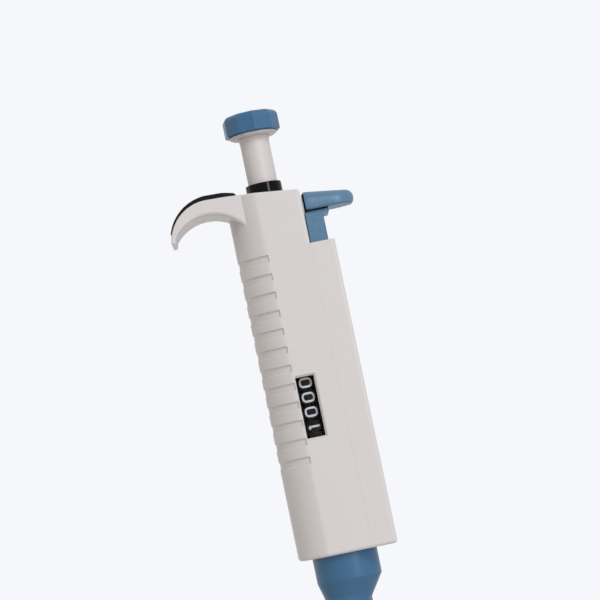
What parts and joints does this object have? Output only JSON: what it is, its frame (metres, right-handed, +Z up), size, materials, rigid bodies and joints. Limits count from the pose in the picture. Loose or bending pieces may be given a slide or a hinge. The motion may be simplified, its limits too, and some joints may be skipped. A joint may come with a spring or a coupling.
{
  "type": "micropipette",
  "caption": "Hand-held adjustable air displacement pipette with a press button, finger hook, number wheels behind a window and a side lever that pushes the tip off.",
  "frame": {"origin": "centre of the lower end of the tip cone, on the plunger axis", "axes": "+Z up the plunger axis to the push button, -X towards the finger hook, +X towards the tip ejector, the counter window faces -Y"},
  "size_m": [0.0574, 0.022, 0.234],
  "materials": {
    "shell_plastic": "pale warm grey moulded plastic, fine satin texture",
    "hook_rubber": "black soft strip, satin",
    "lens_clear": "clear polished plastic",
    "black_plastic": "black plastic, satin",
    "frame_plastic": "grey engineering plastic",
    "steel": "ground stainless steel",
    "brass": "turned brass",
    "seal_rubber": "black rubber ring",
    "cylinder_plastic": "ivory fluoropolymer, smooth",
    "wheel_plastic": "black wheels with pale numbers",
    "blue_plastic": "muted blue moulded plastic, satin gloss",
    "stem_plastic": "pale grey plastic, smooth satin"
  },
  "bodies": {
    "handle": {"handle_shell": "shell_plastic", "ejector_cover": "shell_plastic", "hook_pad": "hook_rubber", "window_lens": "lens_clear", "top_collar": "black_plastic", "counter_frame": "frame_plastic", "pinion_shaft": "steel", "nut_guide": "frame_plastic", "spindle_drag_ring": "seal_rubber", "stem_guide": "frame_plastic", "nose_tube": "frame_plastic", "piston_cylinder": "cylinder_plastic", "piston_seal": "seal_rubber", "seal_retainer": "brass", "return_spring": "steel", "tip_cone": "cylinder_plastic", "ejector_spring": "steel"},
    "dial": {"volume_spindle": "brass", "units_wheel": "wheel_plastic"},
    "plunger": {"push_button_cap": "blue_plastic", "button_disc": "stem_plastic", "plunger_stem": "stem_plastic", "stop_flange": "steel", "operating_rod": "steel"},
    "nut": {"volume_nut": "brass", "blowout_spring": "steel"},
    "tens": {"tens_wheel": "wheel_plastic"},
    "hundreds": {"hundreds_wheel": "wheel_plastic"},
    "thousands": {"thousands_wheel": "wheel_plastic"},
    "tens_pinion": {"transfer_pinion_tens": "frame_plastic"},
    "hundreds_pinion": {"transfer_pinion_hundreds": "frame_plastic"},
    "thousands_pinion": {"transfer_pinion_thousands": "frame_plastic"},
    "piston_body": {"piston_head": "frame_plastic", "piston": "steel"},
    "ejector": {"ejector_pad": "blue_plastic", "ejector_bracket": "black_plastic", "ejector_post": "blue_plastic", "ejector_bar": "steel", "ejector_sleeve": "blue_plastic"}
  },
  "joints": [
    {"name": "volume_turn", "type": "hinge", "parent": "handle", "child": "dial", "pos_m": [0, 0, 0.15], "axis": [0, 0, 1], "range_deg": [-6480, 0]},
    {"name": "plunger_press", "type": "slide", "parent": "dial", "child": "plunger", "axis": [0, 0, -1], "range_m": [0, 0.0142], "stiffness_N_per_m": 350, "springref_m": -0.012, "deforming": ["return_spring", "blowout_spring"]},
    {"name": "piston_stroke", "type": "slide", "parent": "handle", "child": "piston_body", "axis": [0, 0, -1], "range_m": [0, 0.0142]},
    {"name": "nut_travel", "type": "slide", "parent": "handle", "child": "nut", "axis": [0, 0, 1], "range_m": [0, 0.01146]},
    {"name": "tens_turn", "type": "hinge", "parent": "handle", "child": "tens", "pos_m": [0, 0, 0.1457], "axis": [0, 0, 1], "range_deg": [-3240, 0]},
    {"name": "hundreds_turn", "type": "hinge", "parent": "handle", "child": "hundreds", "pos_m": [0, 0, 0.1413], "axis": [0, 0, 1], "range_deg": [-324, 0]},
    {"name": "thousands_turn", "type": "hinge", "parent": "handle", "child": "thousands", "pos_m": [0, 0, 0.1369], "axis": [0, 0, 1], "range_deg": [-32.4, 0]},
    {"name": "tens_pinion_turn", "type": "hinge", "parent": "handle", "child": "tens_pinion", "pos_m": [0.00592, 0.00657, 0.148], "axis": [0, 0, 1], "range_deg": [0, 10800]},
    {"name": "hundreds_pinion_turn", "type": "hinge", "parent": "handle", "child": "hundreds_pinion", "pos_m": [0.00592, 0.00657, 0.1435], "axis": [0, 0, 1], "range_deg": [0, 1080]},
    {"name": "thousands_pinion_turn", "type": "hinge", "parent": "handle", "child": "thousands_pinion", "pos_m": [0.00592, 0.00657, 0.139], "axis": [0, 0, 1], "range_deg": [0, 108]},
    {"name": "ejector_press", "type": "slide", "parent": "handle", "child": "ejector", "axis": [0, 0, -1], "range_m": [0, 0.008], "stiffness_N_per_m": 250, "springref_m": -0.02, "deforming": ["ejector_spring"]}
  ],
  "couplings": [
    {"joint": "piston_stroke", "follows": "plunger_press", "ratio": 1},
    {"joint": "volume_turn", "follows": "nut_travel", "rad_per_m": -9869.6},
    {"joint": "tens_turn", "follows": "nut_travel", "rad_per_m": -4934.8},
    {"joint": "hundreds_turn", "follows": "nut_travel", "rad_per_m": -493.48},
    {"joint": "thousands_turn", "follows": "nut_travel", "rad_per_m": -49.348},
    {"joint": "tens_pinion_turn", "follows": "nut_travel", "rad_per_m": 16449},
    {"joint": "hundreds_pinion_turn", "follows": "nut_travel", "rad_per_m": 1644.9},
    {"joint": "thousands_pinion_turn", "follows": "nut_travel", "rad_per_m": 164.49}
  ]
}
